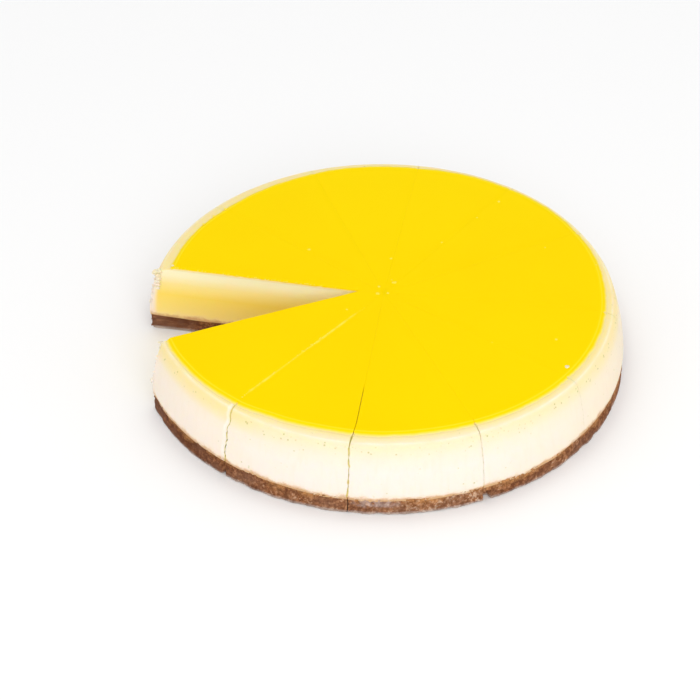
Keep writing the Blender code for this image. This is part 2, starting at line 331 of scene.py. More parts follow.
def crumb_relief(place):
    """Depth of a broken crumb surface below its highest points, and the crumb's own shade."""
    distances, centres = noise.voronoi(place / CRUMB_SIZE)
    grit_distances, grit_centres = noise.voronoi(place / GRIT_SIZE)
    between_crumbs = smooth_step(distances[0] * CRUMB_STEEPNESS)
    between_grit = smooth_step(grit_distances[0] * GRIT_STEEPNESS)
    depth = CRUMB_DEPTH * between_crumbs + GRIT_DEPTH * between_grit
    shade = MIDDLE_SHADE + CRUMB_SHADE * noise.cell(centres[0] * 37)
    shade += GRIT_SHADE * noise.cell(grit_centres[0] * 53)
    return depth, shade


def crust_section(number, column, level, angle, share):
    """A point of the crust: distance from the cut centre, height and what marks it."""
    place = spot(angle, station(number, column, angle, CRUST_TOP_RADIUS))
    height = level * (crust_top(number, share, place) + ragged_edge(place, column))
    if height < FOOT_HEIGHT:
        radius = BASE_RADIUS + (FOOT_RADIUS - BASE_RADIUS) * height / FOOT_HEIGHT
    else:
        rise = (height - FOOT_HEIGHT) / (CRUST_HEIGHT - FOOT_HEIGHT)
        radius = FOOT_RADIUS + (CRUST_TOP_RADIUS - FOOT_RADIUS) * rise
    reach = station(number, column, angle, radius)
    # Painted light and shade by direction, carried into the crumb's shade mark
    tone = by_direction(CRUST_PAINTED_LIGHT_AND_SHADE, angle)
    if column <= 1 and min(from_cuts(number, share, reach)) > BROKEN_IN:
        return reach, height, (MIDDLE_SHADE + tone, 0.0, level, 0.0)
    place = spot(angle, reach)
    point = Vector((place.x, place.y, height))
    depth, shade = crumb_relief(point)
    smear = 0.0
    if column > 1:
        loose = 1 - FIRMER_AT_TOP * level
        inward = depth - PROUD - LUMP_DEPTH * noise.noise(point / LUMP_PITCH) * loose
        inward += chip_depth(number, share, reach, height) * loose
        limit = reach_to_circle(angle, CAKE_CENTRE, OUTERMOST_RADIUS)
        reach = min(reach - inward * (column - 1), limit)
        aside = abs(degrees(angle) - SMEARED_CRUST) / SMEARED_CRUST_SPREAD
        patches = 0.65 + 0.9 * noise.noise(point / SMEARED_CRUST_PITCH)
        upper = smooth_step((level - SMEARED_FROM_LEVEL) / SMEARED_LEVEL_BLEND)
        smear = smooth_step(1.3 - aside) * upper * patches
    marks = (shade + tone, depth / (CRUMB_DEPTH + GRIT_DEPTH), level, smear)
    return reach, height, marks


def crumble_open_face(point, number, share, reach, depth):
    """Sink the crust between the crumbs of a face that the opening shows."""
    to_first, to_last = from_cuts(number, share, reach)
    if number == FIRST_PORTION:
        cut, into, distance = 0, 1, to_first
    elif number == LAST_PORTION:
        cut, into, distance = len(CUTS) - 1, -1, to_last
    else:
        return point
    beyond_seam = smooth_step((reach - 1.2 * SEAM_LENGTH) / SEAM_LENGTH)
    amount = depth * beyond_seam * max(0.0, 1 - distance / BROKEN_IN)
    direction = radians(CUTS[cut].direction)
    return point + Vector((-sin(direction), cos(direction), 0.0)) * into * amount


def portion_point(number, column, level, share, section):
    """Place one point of a layer; share runs from 0 at the first cut to 1 at the last."""
    first, last = portion_sweep(number)
    angle = first + share * (last - first)
    for _ in range(2):
        reach, height, marks = section(number, column, level, angle, share)
        start = face_angle(number - 1, 1, reach, height)
        end = face_angle(number, -1, reach, height)
        angle = start + share * (end - start)
    place = spot(angle, reach)
    return Vector((place.x, place.y, height)), reach, marks


def even_columns(number, spacing, outer):
    """Columns from the tip to the glaze's edge at a spacing in mm, then the outer ones."""
    seam = SEAM_LENGTH / GLAZE_RADIUS
    count = max(1, round((outer[0] - seam) * GLAZE_RADIUS / spacing))
    return [0.0] + [seam + (outer[0] - seam) * i / count for i in range(count)] + list(outer)


def crowded(step, steps, pull):
    """Share of the way from 0 to 1, with steps closer together near both ends."""
    return step / steps - pull * sin(2 * pi * step / steps) / (2 * pi)


def build_layer(name, number, section, columns, levels, steps, pull, marks, broken=False):
    """Raise a fine grid into a block and put each of its points in its place in the portion.

    Subdividing leaves the points in an order that changes from run to run. They are sorted before
    near ones are merged, so that the result is always the same.
    """
    bm = bmesh.new()
    bmesh.ops.create_grid(bm, x_segments=len(columns) - 1, y_segments=steps, size=0.5)
    raised = bmesh.ops.extrude_face_region(bm, geom=bm.faces[:])
    upper = [item for item in raised["geom"] if isinstance(item, bmesh.types.BMVert)]
    bmesh.ops.translate(bm, verts=upper, vec=(0, 0, 1))
    uprights = [edge for edge in bm.edges if edge.calc_length() > UPRIGHT_LENGTH]
    bmesh.ops.subdivide_edges(bm, edges=uprights, cuts=levels - 1, use_grid_fill=True)
    layers = [bm.verts.layers.float.new(mark) for mark in marks]
    for vert in bm.verts:
        column = round((vert.co.x + 0.5) * (len(columns) - 1))
        step = round((vert.co.y + 0.5) * steps)
        level = round(vert.co.z * levels)
        vert.index = (column * (steps + 1) + step) * (levels + 1) + level
        share = crowded(step, steps, pull)
        placed = portion_point(number, columns[column], level / levels, share, section)
        point, reach, values = placed
        if broken:
            depth = values[1] * (CRUMB_DEPTH + GRIT_DEPTH)
            point = crumble_open_face(point, number, share, reach, depth)
        vert.co = point
        for layer, value in zip(layers, values):
            vert[layer] = value
    bm.verts.sort()
    bmesh.ops.remove_doubles(bm, verts=bm.verts[:], dist=MERGE_DISTANCE)
    bmesh.ops.recalc_face_normals(bm, faces=bm.faces[:])
    return finish_piece(name, bm)


def finish_piece(name, bm, sharp_from=40):
    """Turn a bmesh in millimetres into an object in metres that rides on the cake."""
    for vert in bm.verts:
        vert.co = Vector(map(max, map(min, vert.co, BOX_HIGH), BOX_LOW))
    bmesh.ops.scale(bm, vec=(MILLIMETRE,) * 3, verts=bm.verts)
    mesh = bpy.data.meshes.new(name)
    bm.to_mesh(mesh)
    bm.free()
    mesh.shade_smooth()
    mesh.set_sharp_from_angle(angle=radians(sharp_from))
    piece = bpy.data.objects.new(name, mesh)
    bpy.context.scene.collection.objects.link(piece)
    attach(piece, "root")
    return piece


def add(tree, kind, inputs=None, **settings):
    """Add a shader node; each input is a value or another node's output."""
    made = tree.nodes.new("ShaderNode" + kind)
    for name, value in settings.items():
        setattr(made, name, value)
    for socket, value in (inputs or {}).items():
        if isinstance(value, bpy.types.NodeSocket):
            tree.links.new(value, made.inputs[socket])
        else:
            made.inputs[socket].default_value = value
    return made.outputs


def ramp(tree, factor, *stops):
    """Colours along a factor; a stop is a position and a linear colour."""
    made = tree.nodes.new("ShaderNodeValToRGB")
    tree.links.new(factor, made.inputs["Fac"])
    elements = made.color_ramp.elements
    while len(elements) < len(stops):
        elements.new(0.5)
    for element, (position, colour) in zip(elements, stops):
        element.position = position
        element.color = (*colour, 1.0)
    return made.outputs["Color"]


def spread_of(tree, value, low, high, to_low=0.0, to_high=1.0):
    """Stretch a value's range from low..high to to_low..to_high, and keep it inside."""
    inputs = {"Value": value, "From Min": low, "From Max": high}
    return add(tree, "MapRange", inputs | {"To Min": to_low, "To Max": to_high})["Result"]


def sum_of(tree, *values):
    """Add values together."""
    total = values[0]
    for value in values[1:]:
        total = add(tree, "Math", {0: total, 1: value})["Value"]
    return total


def product_of(tree, first, second):
    """Multiply two values."""
    return add(tree, "Math", {0: first, 1: second}, operation="MULTIPLY")["Value"]


def mark_of(tree, name):
    """Read one of a piece's marks."""
    return add(tree, "Attribute", attribute_name=name)["Fac"]


def mix(tree, factor, first, second):
    """Mix two colours."""
    return add(tree, "Mix", {0: factor, 6: first, 7: second}, data_type="RGBA")[2]


def food_material(name, roughness, **shader_inputs):
    """A material with a Principled shader, and the tree to build its surface in."""
    material = bpy.data.materials.new(name)
    material.use_nodes = True
    tree = material.node_tree
    shader = tree.nodes["Principled BSDF"]
    shader.inputs["Roughness"].default_value = roughness
    for socket, value in shader_inputs.items():
        shader.inputs[socket.replace("_", " ")].default_value = value
    return material, tree, shader


def fine_grain_group():
    """The small unevenness of every baked surface: a height and a patchy tone."""
    group = bpy.data.node_groups.new("fine_grain", "ShaderNodeTree")
    group.interface.new_socket("Grains per metre", in_out="INPUT", socket_type="NodeSocketFloat")
    group.interface.new_socket("Patches per metre", in_out="INPUT", socket_type="NodeSocketFloat")
    group.interface.new_socket("Height", in_out="OUTPUT", socket_type="NodeSocketFloat")
    group.interface.new_socket("Tone", in_out="OUTPUT", socket_type="NodeSocketFloat")
    given = group.nodes.new("NodeGroupInput").outputs
    place = add(group, "TexCoord")["Object"]
    grain = {"Vector": place, "Scale": given["Grains per metre"], "Detail": 3.0, "Roughness": 0.6}
    patch = {"Vector": place, "Scale": given["Patches per metre"], "Detail": 2.0, "Roughness": 0.5}
    result = group.nodes.new("NodeGroupOutput").inputs
    group.links.new(add(group, "TexNoise", grain)["Fac"], result["Height"])
    group.links.new(add(group, "TexNoise", patch)["Fac"], result["Tone"])
    return group


fine_grain = fine_grain_group()
GRAIN_HEIGHT = 0.0004


def add_grain(tree, grains, patches):
    """Place the fine grain in a material, with its own sizes."""
    outputs = add(tree, "Group", node_tree=fine_grain)
    outputs[0].node.inputs["Grains per metre"].default_value = grains
    outputs[0].node.inputs["Patches per metre"].default_value = patches
    return outputs


def finish_material(tree, shader, colour, height, strength):
    """Give the shader its colour and its grain."""
    bump = add(tree, "Bump", {"Height": height, "Strength": strength, "Distance": GRAIN_HEIGHT})
    tree.links.new(colour, shader.inputs["Base Color"])
    tree.links.new(bump["Normal"], shader.inputs["Normal"])


TOASTED_BROWN = (0.590, 0.282, 0.100, 1.0)
FOOT_SHADE_BROWN = (0.270, 0.140, 0.090, 1.0)
FOOT_HIGHLIGHT = (0.640, 0.570, 0.520, 1.0)
CREAM_ON_CRUST = (0.560, 0.420, 0.370, 1.0)
HOLLOW_SHADE_BROWN = (0.090, 0.034, 0.014, 1.0)


def crumb_material():
    """Biscuit crumb, toasted above; painted shade below and in hollows, painted highlight at its
    foot.
    """
    material, tree, shader = food_material("biscuit_crumb", 0.85, Specular_IOR_Level=0.1)
    grain = add_grain(tree, 1500.0, 140.0)
    place = add(tree, "TexCoord")["Object"]
    height = add(tree, "SeparateXYZ", {"Vector": place})["Z"]
    level = mark_of(tree, "crumb_level")
    toned = sum_of(
        tree, mark_of(tree, "crumb_shade_and_painted_light"), spread_of(tree, grain["Tone"], 0.3, 0.7, -0.14, 0.14),
        spread_of(tree, grain["Height"], 0.3, 0.7, -0.20, 0.20),
    )
    brown = ramp(
        tree, toned,
        (0.00, (0.120, 0.036, 0.014)), (0.30, (0.200, 0.070, 0.028)),
        (0.55, (0.300, 0.119, 0.049)), (0.80, (0.430, 0.200, 0.092)),
        (1.00, (0.640, 0.430, 0.290)),
    )
    wide = add(tree, "TexNoise", {"Vector": place, "Scale": 80.0, "Detail": 2.0})
    patch = spread_of(tree, wide["Fac"], 0.32, 0.68, -0.4, 0.4)
    fine = spread_of(tree, grain["Height"], 0.3, 0.7, -0.15, 0.15)
    toasted = spread_of(tree, sum_of(tree, level, product_of(tree, patch, 0.7), fine), 0.66, 1.1)
    brown = mix(tree, product_of(tree, toasted, 0.8), brown, TOASTED_BROWN)
    # Painted shade: greyer and darker towards the foot
    above_foot = sum_of(tree, level, product_of(tree, patch, 1.4))
    foot_shade = spread_of(tree, above_foot, 0.0, 0.7, 0.45, 0.0)
    brown = mix(tree, foot_shade, brown, FOOT_SHADE_BROWN)
    # Painted highlight: a pale line along the very foot
    raised = sum_of(tree, height, product_of(tree, toned, -0.0008))
    foot_highlight = spread_of(tree, raised, 0.0004, 0.0016, 0.6, 0.0)
    brown = mix(tree, foot_highlight, brown, FOOT_HIGHLIGHT)
    smear = spread_of(tree, mark_of(tree, "cream_smear"), 0.1, 0.9, 0.0, 0.75)
    brown = mix(tree, smear, brown, CREAM_ON_CRUST)
    # Painted shade: darker in the hollows between the crumbs
    hollow_shade = spread_of(tree, mark_of(tree, "crumb_hollow"), 0.5, 1.0, 0.0, 0.5)
    colour = mix(tree, hollow_shade, brown, HOLLOW_SHADE_BROWN)
    finish_material(tree, shader, colour, grain["Height"], 0.5)
    return material


biscuit = crumb_material()

# How finely the crust is divided: levels upwards, steps from cut to cut and how strongly they
# crowd towards the cuts, the wall's columns, and the spacing of the others in mm
CRUST_LEVELS = 22
CRUST_STEPS, OPEN_CRUST_STEPS = 150, 105
CRUST_PULL = 0.3
CRUST_WALL_COLUMNS = (0.93, 1.0, 1.35, 1.7, 1.88, 2.0)
HIDDEN_SPACING, OPEN_CRUST_SPACING = 40.0, 0.75
CRUST_MARKS = ("crumb_shade_and_painted_light", "crumb_hollow", "crumb_level", "cream_smear")
for number in PORTIONS:
    beside_opening = number in (FIRST_PORTION, LAST_PORTION)
    spacing = OPEN_CRUST_SPACING if beside_opening else HIDDEN_SPACING
    steps = OPEN_CRUST_STEPS if beside_opening else CRUST_STEPS
    columns = even_columns(number, spacing, CRUST_WALL_COLUMNS)
    base = build_layer(
        f"biscuit_base_{number:02d}", number, crust_section, columns,
        CRUST_LEVELS, steps, CRUST_PULL, CRUST_MARKS, broken=True,
    )
    base.data.materials.append(biscuit)
    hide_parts(f"slice_{number:02d}_crust")


# Cream cheese filling
# Smooth cream cheese, egg and sugar, poured on the base and baked until it sets. It bulges a
# little above the base and leans in to a shoulder, which has a fine raised lip and small pores.

BULGE_RADIUS = 120.0
BULGE_HEIGHT = 11.0
SHOULDER_HEIGHT = 36.8
SHOULDER_RADIUS = 114.5
LEAN_POWER = 1.7
SHOULDER_POWER = 2.0
GLAZE_THICKNESS = 1.6
FILLING_TOP = CAKE_HEIGHT - GLAZE_THICKNESS
SUNK_IN_CRUST = 1.2
WALL_DEPTH = 0.35
WALL_PITCH = 30.0
CREST_WIDTH = 2.0
CREST_DROP = 0.3
CREST_LEAN = radians(42)
LIP_RADIUS = 113.1
LIP_WIDTH = 1.5
LIP_HEIGHT = 0.28
LIP_PITCH = 7.0
LIP_PAINTED_HIGHLIGHT = 0.8
CUT_FACE_TO_COLUMN, CUT_FACE_BLEND = 1.9, 0.3

# Small holes torn along the cuts, with painted shade in them, cream smeared beside one of them,
# and the cuts that glaze has run down
TEAR_DEPTH = 1.2
TEAR_WIDTH = 0.4
TEAR_PITCH = 1.1
TEAR_SHARE = 0.1
TEAR_PAINTED_SHADE = 1.6
SMEAR_CUT = 1
SMEAR_DISTANCE = 2.6
SMEAR_WIDTH = 2.8
SMEAR_PITCH = 5.0
SEEPED_CUTS = {1: 1.0, 2: 1.0, 3: 0.35}
SEEPED_ELSEWHERE = 0.2
SEEPED_WIDTH = 0.7
SEEPED_PITCH = 2.3
SEEPED_SHARE, SEEPED_SWING = 0.6, 1.6

# The yellow film that the glaze left outside its edge: how wide it is at its strongest, how far
# it stays and how far it fades, and how strong it is by direction in degrees
FILM_EDGE_WIDTH = 3.4
FILM_EVEN_WIDTH = 6.0
FILM_FADE_WIDTH = 9.0
FILM_LEAST = 0.12
FILM_WARMER = 0.25
FILM_RUNS = [
    (0, 0.6), (30, 0.8), (90, 0.8), (130, 0.9), (175, 0.9), (190, 0.85), (230, 0.75),
    (243, 0.2), (256, 0.05), (290, 0.05), (310, 0.2), (330, 0.35), (360, 0.6),
]


def wall_radius(height):
    """Radius of the filling's wall, which leans in from its widest place to the shoulder."""
    if height > BULGE_HEIGHT:
        share = (height - BULGE_HEIGHT) / (SHOULDER_HEIGHT - BULGE_HEIGHT)
        return BULGE_RADIUS - (BULGE_RADIUS - SHOULDER_RADIUS) * share ** LEAN_POWER
    share = (BULGE_HEIGHT - height) / (BULGE_HEIGHT - CRUST_HEIGHT)
    return BULGE_RADIUS - (BULGE_RADIUS - CRUST_TOP_RADIUS) * min(share, 1.0) ** 2


def torn_depth(cut, distance, height):
    """Depth of the small holes torn along a cut where it comes out at the wall."""
    holes = noise.noise(Vector((height / TEAR_PITCH, 8.3 * cut, 2.7))) + TEAR_SHARE
    near = max(0.0, 1 - distance / TEAR_WIDTH)
    return TEAR_DEPTH * CUTS[cut].ragged * max(0.0, holes) * near


def crest_rounding(column, below_top):
    """How far the crest between the shoulder and the wall is rounded off at a point."""
    from_crest = (2 - column) * (SHOULDER_RADIUS - GLAZE_RADIUS) + below_top
    return CREST_DROP * max(0.0, 1 - from_crest / CREST_WIDTH) ** 2


def seeped_glaze(cut, distance, height):
    """How much glaze has run down a closed cut and shows along it."""
    patches = noise.noise(Vector((height / SEEPED_PITCH, 6.1 * cut, 1.4)))
    broken = smooth_step(SEEPED_SHARE + SEEPED_SWING * patches)
    if distance < 0.01:
        broken = 1.0
    near = max(0.0, 1 - distance / SEEPED_WIDTH)
    return SEEPED_CUTS.get(cut, SEEPED_ELSEWHERE) * broken * near


def film_of_glaze(angle, from_glaze):
    """How yellow the cream is outside the glaze's edge: strongly at once, then ever less."""
    at_edge = max(0.0, 1 - from_glaze / FILM_EDGE_WIDTH)
    fading = smooth_step(1 - (from_glaze - FILM_EVEN_WIDTH) / FILM_FADE_WIDTH)
    down_wall = max(FILM_LEAST, fading)
    warmer_side = FILM_WARMER * max(0.0, cos(angle)) ** 2
    return min(1.0, at_edge + by_direction(FILM_RUNS, angle) * down_wall + warmer_side)


def filling_section(number, column, level, angle, share):
    """A point of the filling, with its height above the crust and how it is marked."""
    place = spot(angle, station(number, column, angle, CRUST_TOP_RADIUS))
    seat = crust_top(number, share, place)
    slope = max(0.0, column - 1)
    top = FILLING_TOP - (FILLING_TOP - SHOULDER_HEIGHT) * slope ** SHOULDER_POWER
    height = seat - SUNK_IN_CRUST + level * (top - seat + SUNK_IN_CRUST)
    reach = station(number, column, angle, wall_radius(height))
    above_crust = height - seat
    # inside marks the cut faces, which the material paints with golden shade and gives fewer pores
    inside = smooth_step((CUT_FACE_TO_COLUMN - column) / CUT_FACE_BLEND) * (level < 1)
    torn_hole_shade = smear = seeped = 0.0
    film = float(level == 1)
    if column > 1:
        point = Vector((place.x, place.y, height))
        to_first, to_last = from_cuts(number, share, reach)
        soft = WALL_DEPTH * noise.noise(point / WALL_PITCH) * sin(pi * level)
        torn = torn_depth(number - 1, to_first, height) + torn_depth(number, to_last, height)
        rounding = crest_rounding(column, top - height)
        if level == 1:
            from_lip = abs(spot(angle, reach).length - LIP_RADIUS)
            along_lip = 0.75 + 0.7 * noise.noise(point / LIP_PITCH)
            lip = max(0.0, 1 - from_lip / LIP_WIDTH) ** 2 * along_lip
            height += LIP_HEIGHT * lip
            # Painted highlight: the lip's crest is paler, carried in the smear mark
            smear = LIP_PAINTED_HIGHLIGHT * lip
        from_glaze = (column - 1) * (SHOULDER_RADIUS - GLAZE_RADIUS) + top - height
        film = film_of_glaze(angle, from_glaze)
        reach += (soft - torn) * (column - 1) - rounding * cos(CREST_LEAN)
        height -= rounding * sin(CREST_LEAN)
        # Painted shade: the torn holes are darker the deeper they go
        torn_hole_shade = min(1.0, TEAR_PAINTED_SHADE * torn)
        if number > FIRST_PORTION:
            seeped += seeped_glaze(number - 1, to_first, height)
        if number < LAST_PORTION:
            seeped += seeped_glaze(number, to_last, height)
        if number == SMEAR_CUT:
            patches = 0.75 + 0.6 * noise.noise(point / SMEAR_PITCH)
            smear += patches * smooth_step(1 - abs(to_last - SMEAR_DISTANCE) / SMEAR_WIDTH)
    return reach, height, (above_crust, torn_hole_shade, smear, inside, seeped, film)


# Pores: how many cells to the metre, from where to where in a cell a pore fades out, how much they
# crowd in their band, how rare they are, and the heights where the band begins and ends in metres
PORES_PER_METRE = 540.0
PORE_FADES = (0.16, 0.38)
PORE_PATCHES_PER_METRE = 260.0
PORE_CROWDING = 0.21
PORES_KEPT = (0.66, 0.76)
PORE_BAND_BEGINS = (0.0310, 0.0345)
PORE_BAND_ENDS = (0.0362, 0.0372)


def pores(tree, place, height):
    """Small dark pores, which crowd in a band just below the shoulder and are rare elsewhere."""
    cells = add(tree, "TexVoronoi", {"Vector": place, "Scale": PORES_PER_METRE})["Distance"]
    dots = spread_of(tree, cells, *PORE_FADES, 1.0, 0.0)
    patches = {"Vector": place, "Scale": PORE_PATCHES_PER_METRE, "Detail": 1.0}
    where = add(tree, "TexNoise", patches)["Fac"]
    begun = spread_of(tree, height, *PORE_BAND_BEGINS)
    not_ended = spread_of(tree, height, *PORE_BAND_ENDS, 1.0, 0.0)
    band = product_of(tree, begun, not_ended)
    crowded_in = sum_of(tree, where, product_of(tree, band, PORE_CROWDING))
    return product_of(tree, dots, spread_of(tree, crowded_in, *PORES_KEPT))


WARM_PATCH = (0.935, 0.815, 0.640, 1.0)
GLAZE_FILM = (0.940, 0.755, 0.320, 1.0)
TANNED_STREAK = (0.880, 0.740, 0.560, 1.0)
TIP_PAINTED_SHADE = (0.990, 0.790, 0.330, 1.0)
TANNED_CREAM = (0.860, 0.640, 0.400, 1.0)
BROWNED_CREAM = (0.640, 0.350, 0.150, 1.0)
SMEAR_AND_LIP_HIGHLIGHT_CREAM = (0.970, 0.930, 0.860, 1.0)
SEEPED_YELLOW = (0.740, 0.550, 0.110, 1.0)
PORE_AND_HOLE_SHADE_GREEN = (0.430, 0.440, 0.100, 1.0)


def filling_material():
    """Baked cream cheese: ivory, yellower at the shoulder and tanned just above the base, with
    painted shade on its cut faces and in torn holes and a painted highlight on its lip.
    """
    material, tree, shader = food_material(
        "baked_cream_cheese", 0.5, Specular_IOR_Level=0.3,
        Subsurface_Weight=0.35, Subsurface_Scale=0.0025, Subsurface_Radius=(1.0, 0.62, 0.3),
    )
    grain = add_grain(tree, 900.0, 45.0)
    place = add(tree, "TexCoord")["Object"]
    coordinates = add(tree, "SeparateXYZ", {"Vector": place})
    height = coordinates["Z"]
    ivory = ramp(
        tree, spread_of(tree, height, 0.008, 0.040),
        (0.00, (0.925, 0.810, 0.725)), (0.50, (0.925, 0.815, 0.735)),
        (0.70, (0.925, 0.805, 0.665)), (0.89, (0.925, 0.790, 0.530)),
        (1.00, (0.930, 0.785, 0.480)),
    )
    patch = spread_of(tree, grain["Tone"], 0.35, 0.65, 0.0, 0.15)
    cream = mix(tree, patch, ivory, WARM_PATCH)
    cream = mix(tree, mark_of(tree, "film"), cream, GLAZE_FILM)
    upright = {0: place, 1: (1.0, 1.0, 0.10)}
    stretched = add(tree, "VectorMath", upright, operation="MULTIPLY")["Vector"]
    noise_streaks = add(tree, "TexNoise", {"Vector": stretched, "Scale": 420.0, "Detail": 2.0})
    streaks = spread_of(tree, noise_streaks["Fac"], 0.5, 0.72, 0.0, 0.22)
    cream = mix(tree, streaks, cream, TANNED_STREAK)
    # Painted shade: the cut faces are golden, deepest low down, as the warm shade between portions
    painted_cut_face_shade = ramp(
        tree, spread_of(tree, height, 0.010, 0.038),
        (0.00, (0.975, 0.740, 0.240)), (0.45, (0.985, 0.715, 0.120)),
        (0.70, (0.985, 0.795, 0.310)), (0.88, (0.985, 0.885, 0.570)),
        (1.00, (0.985, 0.895, 0.610)),
    )
    # Painted shade: more golden still towards the tip
    tip_shade = spread_of(tree, coordinates["X"], -0.040, -0.008, 0.0, 0.6)
    painted_cut_face_shade = mix(tree, tip_shade, painted_cut_face_shade, TIP_PAINTED_SHADE)
    cream = mix(tree, mark_of(tree, "inside"), cream, painted_cut_face_shade)
    blotches = add(tree, "TexNoise", {"Vector": place, "Scale": 170.0, "Detail": 3.0})["Fac"]
    soaked = sum_of(
        tree, mark_of(tree, "above_crust"), spread_of(tree, blotches, 0.3, 0.7, -1.1, 1.1),
        spread_of(tree, grain["Height"], 0.3, 0.7, -0.4, 0.4),
    )
    tanned = spread_of(tree, soaked, 0.6, 2.8, 0.4, 0.0)
    cream = mix(tree, tanned, cream, TANNED_CREAM)
    browned = spread_of(tree, soaked, -0.5, 1.3, 0.9, 0.0)
    cream = mix(tree, browned, cream, BROWNED_CREAM)
    # Pale knife smear, and the lip's painted highlight
    smear = spread_of(tree, mark_of(tree, "smear"), 0.0, 1.0, 0.0, 0.6)
    cream = mix(tree, smear, cream, SMEAR_AND_LIP_HIGHLIGHT_CREAM)
    seeped = spread_of(tree, mark_of(tree, "seeped"), 0.1, 0.7, 0.0, 0.9)
    cream = mix(tree, seeped, cream, SEEPED_YELLOW)
    outside = spread_of(tree, mark_of(tree, "inside"), 0.0, 1.0, 0.55, 0.0)
    # Pores, and the painted shade in the torn holes
    small_holes = product_of(tree, pores(tree, place, height), outside)
    holes = spread_of(
        tree, sum_of(tree, mark_of(tree, "torn_hole_shade"), small_holes), 0.05, 0.8, 0.0, 0.85
    )
    colour = mix(tree, holes, cream, PORE_AND_HOLE_SHADE_GREEN)
    finish_material(tree, shader, colour, grain["Height"], 0.25)
    return material


cream_cheese = filling_material()
FILLING_LEVELS = 56
FILLING_STEPS = 120
FILLING_PULL = 0.6
OPEN_FILLING_SPACING = 1.5
FILLING_MARKS = ("above_crust", "torn_hole_shade", "smear", "inside", "seeped", "film")
SHOULDER_COLUMNS = [1 + i / 14 for i in range(15)]
for number in PORTIONS:
    beside_opening = number in (FIRST_PORTION, LAST_PORTION)
    spacing = OPEN_FILLING_SPACING if beside_opening else HIDDEN_SPACING
    columns = even_columns(number, spacing, [0.93] + SHOULDER_COLUMNS)
    filling = build_layer(
        f"cream_filling_{number:02d}", number, filling_section, columns,
        FILLING_LEVELS, FILLING_STEPS, FILLING_PULL, FILLING_MARKS,
    )
    filling.data.materials.append(cream_cheese)
    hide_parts(f"slice_{number:02d}_filling")


# Glaze
# A thin layer of yellow fruit glaze, poured on the cold cake so that it sets level, with a round
# edge that thins out on the cream. The knife leaves fine lines in it and small notches at the rim.

CRUMB_ROOM = 0.35
GLAZE_TOP = CAKE_HEIGHT - CRUMB_ROOM
GLAZE_EDGE_WIDTH = 3.4
GLAZE_EDGE_DROP = 1.2
SUNK_IN_FILLING = 0.05
CUT_LIP_WIDTH = 0.4
CUT_LIP_DROP = 0.04
NOTCH_WIDTH = 0.9
NOTCH_DEPTH = 1.1
EDGE_WAVE, EDGE_NICKS = 0.45, 0.3

# Beside one cut the knife dragged pale dashes of cream over the glaze, between two reaches
DASH_STARTS, DASH_ENDS = 10.0, 104.0
DASH_FADES_IN, DASH_FADES_OUT = 30.0, 3.0
DASH_LENGTH = 3.2
DASH_WIDTH = 1.3


def glaze_section(number, column, level, angle, share):
    """A point of the glaze, with how thin it is and how much cream the knife left on it."""
    bottom = FILLING_TOP - SUNK_IN_FILLING
    reach = station(number, column, angle, GLAZE_RADIUS)
    edge = max(0.0, 1 - (1 - column) * GLAZE_RADIUS / GLAZE_EDGE_WIDTH)
    to_first, to_last = from_cuts(number, share, reach)
    lip = smooth_step(1 - to_first / CUT_LIP_WIDTH) + smooth_step(1 - to_last / CUT_LIP_WIDTH)
    top = GLAZE_TOP - GLAZE_EDGE_DROP * edge ** 2 - CUT_LIP_DROP * min(1.0, lip)
    height = bottom + level * (top - bottom)
    notch = max(0.0, 1 - min(to_first, to_last) / NOTCH_WIDTH)
    around = Vector((cos(angle), sin(angle), 0.0))
    ragged = EDGE_WAVE * noise.noise(around * 14) + EDGE_NICKS * noise.noise(around * 45) - 0.1
    reach += (ragged - NOTCH_DEPTH * notch) * smooth_step((column - 0.98) * 50)
    smeared = 0.0
    if SMEAR_CUT in (number, number - 1):
        beside = to_last if number == SMEAR_CUT else to_first
        waves = noise.noise(Vector((reach / DASH_LENGTH, 0.4, 7.7)))
        dashes = 0.35 + 0.65 * smooth_step(0.4 + 2.2 * waves)
        along = smooth_step((reach - DASH_STARTS) / DASH_FADES_IN)
        along *= smooth_step((DASH_ENDS - reach) / DASH_FADES_OUT)
        smeared = dashes * along * max(0.0, 1 - beside / DASH_WIDTH)
    creamy = 0.0
    if (number == LAST_PORTION and share == 1) or (number == FIRST_PORTION and share == 0):
        dragged = 0.4 + 0.9 * noise.noise(Vector((reach / 2.1, 5.1, 0.8)))
        creamy = max(0.0, 1 - level + 0.5 * dragged)
    return reach, height, (edge, smeared, creamy)


DEEP_YELLOW = (0.970, 0.675, 0.0, 1.0)
BRIGHT_YELLOW = (0.975, 0.695, 0.0, 1.0)
DRAGGED_YELLOW = (0.975, 0.815, 0.075, 1.0)
CREAMY_YELLOW = (0.960, 0.850, 0.520, 1.0)


